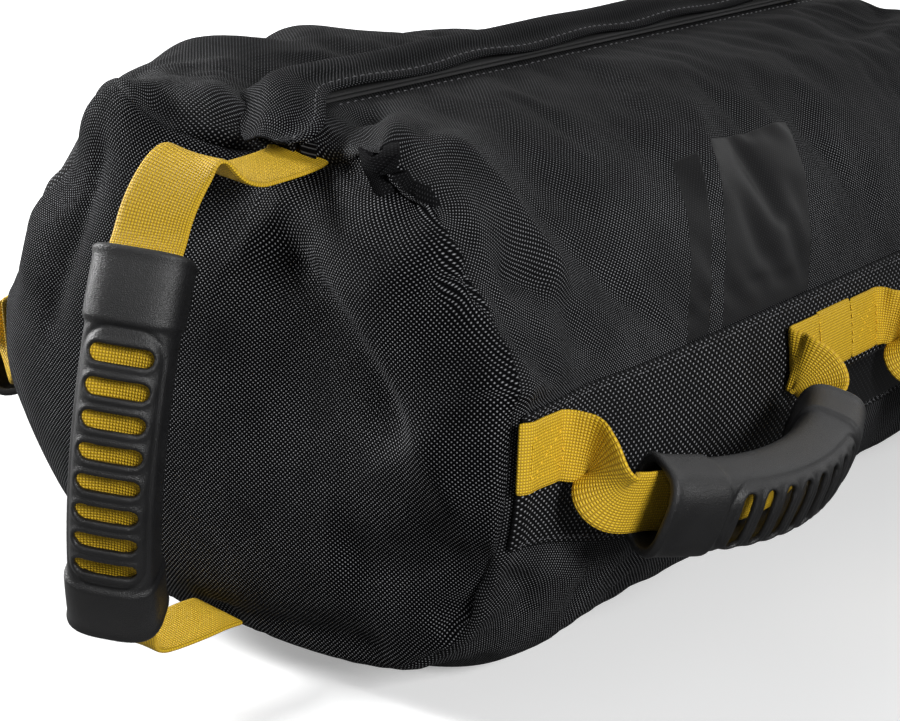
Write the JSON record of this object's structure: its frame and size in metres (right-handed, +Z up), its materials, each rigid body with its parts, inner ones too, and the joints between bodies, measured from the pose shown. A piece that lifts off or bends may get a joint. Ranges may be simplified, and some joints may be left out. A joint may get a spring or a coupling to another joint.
{
  "type": "sandbag trainer",
  "caption": "Zipped fabric training bag with sand-filled inner bags, side handles and an end handle at each end, each a webbing loop through a slotted moulded grip.",
  "frame": {"origin": "on the floor under the middle of the object's box", "axes": "+X along the bag towards the end where the zip slider rests closed, +Z up, -Y the front side"},
  "size_m": [0.6091, 0.3715, 0.2162],
  "materials": {
    "bag_fabric": "coarse coated polyester weave",
    "band_webbing": "coarse black webbing weave",
    "yellow_webbing": "ribbed webbing",
    "grip_rubber": "matte grained moulding",
    "zip_tape": "fine woven tape",
    "zip_teeth": "moulded coil",
    "zip_metal": "black enamel",
    "hook_tape": "hook and loop pile",
    "filler_cloth": "plain woven cloth",
    "sand": "dry sand"
  },
  "bodies": {
    "bag": {"body_panel": "bag_fabric", "end_panel_near": "bag_fabric", "end_panel_far": "bag_fabric", "end_seam_tape_near": "zip_tape", "end_seam_tape_far": "zip_tape", "zip_tape_front": "zip_tape", "zip_tape_back": "zip_tape", "zip_teeth_front": "zip_teeth", "zip_teeth_back": "zip_teeth", "zip_stop_near": "zip_metal", "zip_stop_far_front": "zip_metal", "zip_stop_far_back": "zip_metal", "flap_loop_strip": "hook_tape", "side_band_front": "band_webbing", "side_band_back": "band_webbing", "side_strap_front_near": "yellow_webbing", "side_strap_front_middle": "yellow_webbing", "side_strap_front_far": "yellow_webbing", "side_strap_back_near": "yellow_webbing", "side_strap_back_middle": "yellow_webbing", "side_strap_back_far": "yellow_webbing", "end_tab_near_top": "yellow_webbing", "end_tab_near_bottom": "yellow_webbing", "end_tab_far_top": "yellow_webbing", "end_tab_far_bottom": "yellow_webbing", "filler_bag_1": "filler_cloth", "filler_bag_2": "filler_cloth", "filler_bag_3": "filler_cloth", "filler_bag_4": "filler_cloth", "filler_sand_1": "sand", "filler_sand_2": "sand", "filler_sand_3": "sand", "filler_sand_4": "sand", "filler_closure_1": "hook_tape", "filler_closure_2": "hook_tape", "filler_closure_3": "hook_tape", "filler_closure_4": "hook_tape"},
    "slider": {"zip_slider": "zip_metal"},
    "pull": {"zip_pull": "zip_metal"},
    "flap": {"zip_flap": "bag_fabric", "flap_hook_strip": "hook_tape"},
    "side_handle_front_near": {"side_handle_front_near_webbing": "yellow_webbing"},
    "side_handle_front_far": {"side_handle_front_far_webbing": "yellow_webbing"},
    "side_handle_back_near": {"side_handle_back_near_webbing": "yellow_webbing"},
    "side_handle_back_far": {"side_handle_back_far_webbing": "yellow_webbing"},
    "end_handle_near": {"end_handle_near_webbing": "yellow_webbing"},
    "end_handle_far": {"end_handle_far_webbing": "yellow_webbing"},
    "side_grip_front_near": {"side_handle_front_near_grip": "grip_rubber"},
    "side_grip_front_far": {"side_handle_front_far_grip": "grip_rubber"},
    "side_grip_back_near": {"side_handle_back_near_grip": "grip_rubber"},
    "side_grip_back_far": {"side_handle_back_far_grip": "grip_rubber"},
    "end_grip_near": {"end_handle_near_grip": "grip_rubber"},
    "end_grip_far": {"end_handle_far_grip": "grip_rubber"}
  },
  "joints": [
    {"name": "zip_slide", "type": "slide", "parent": "bag", "child": "slider", "axis": [1, 0, 0], "range_m": [-0.39, 0]},
    {"name": "pull_swing", "type": "hinge", "parent": "slider", "child": "pull", "pos_m": [0.2105, 0, 0.2101], "axis": [0, -1, 0], "range_deg": [0, 110]},
    {"name": "flap_hinge", "type": "hinge", "parent": "bag", "child": "flap", "pos_m": [0, 0.02, 0.2073], "axis": [-1, 0, 0], "range_deg": [0, 130]},
    {"name": "side_handle_front_near_swing", "type": "hinge", "parent": "bag", "child": "side_handle_front_near", "pos_m": [-0.11862, -0.1347, 0.10331], "axis": [-0.9987, -0.0015, 0.0515], "range_deg": [-18, 105], "deforming": ["side_handle_front_near_webbing"]},
    {"name": "side_handle_front_far_swing", "type": "hinge", "parent": "bag", "child": "side_handle_front_far", "pos_m": [0.11647, -0.13227, 0.10021], "axis": [-0.9995, -0.0304, -0.0124], "range_deg": [-18, 105], "deforming": ["side_handle_front_far_webbing"]},
    {"name": "side_handle_back_near_swing", "type": "hinge", "parent": "bag", "child": "side_handle_back_near", "pos_m": [-0.10963, 0.13133, 0.10162], "axis": [0.9983, 0.0468, -0.034], "range_deg": [-18, 105], "deforming": ["side_handle_back_near_webbing"]},
    {"name": "side_handle_back_far_swing", "type": "hinge", "parent": "bag", "child": "side_handle_back_far", "pos_m": [0.12008, 0.13361, 0.10088], "axis": [0.9997, -0.0122, 0.0203], "range_deg": [-18, 105], "deforming": ["side_handle_back_far_webbing"]},
    {"name": "end_handle_near_swing", "type": "hinge", "parent": "bag", "child": "end_handle_near", "pos_m": [-0.22998, -0.0132, 0.10705], "axis": [0, -0.1542, 0.988], "range_deg": [-60, 60], "deforming": ["end_handle_near_webbing"]},
    {"name": "end_handle_far_swing", "type": "hinge", "parent": "bag", "child": "end_handle_far", "pos_m": [0.23095, 0.00528, 0.10912], "axis": [0, 0.0598, 0.9982], "range_deg": [-60, 60], "deforming": ["end_handle_far_webbing"]},
    {"name": "side_grip_front_near_slide", "type": "hinge", "parent": "side_handle_front_near", "child": "side_grip_front_near", "pos_m": [-0.11597, -0.06879, 0.15654], "axis": [-0.0409, 0.6288, -0.7765], "range_deg": [-2, 2]},
    {"name": "side_grip_front_far_slide", "type": "hinge", "parent": "side_handle_front_far", "child": "side_grip_front_far", "pos_m": [0.11381, -0.06644, 0.15354], "axis": [-0.0095, 0.6293, -0.7771], "range_deg": [-2, 2]},
    {"name": "side_grip_back_near_slide", "type": "hinge", "parent": "side_handle_back_near", "child": "side_grip_back_near", "pos_m": [-0.10473, 0.06557, 0.15489], "axis": [0.0031, -0.6293, -0.7771], "range_deg": [-2, 2]},
    {"name": "side_grip_back_far_slide", "type": "hinge", "parent": "side_handle_back_far", "child": "side_grip_back_far", "pos_m": [0.11819, 0.06775, 0.1542], "axis": [0.0081, -0.6293, -0.7771], "range_deg": [-2, 2]},
    {"name": "end_grip_near_slide", "type": "hinge", "parent": "end_handle_near", "child": "end_grip_near", "pos_m": [-0.16022, -0.0132, 0.10705], "axis": [0, -0.988, -0.1542], "range_deg": [-2, 2]},
    {"name": "end_grip_far_slide", "type": "hinge", "parent": "end_handle_far", "child": "end_grip_far", "pos_m": [0.16119, 0.00528, 0.10912], "axis": [0, 0.9982, -0.0598], "range_deg": [-2, 2]}
  ]
}
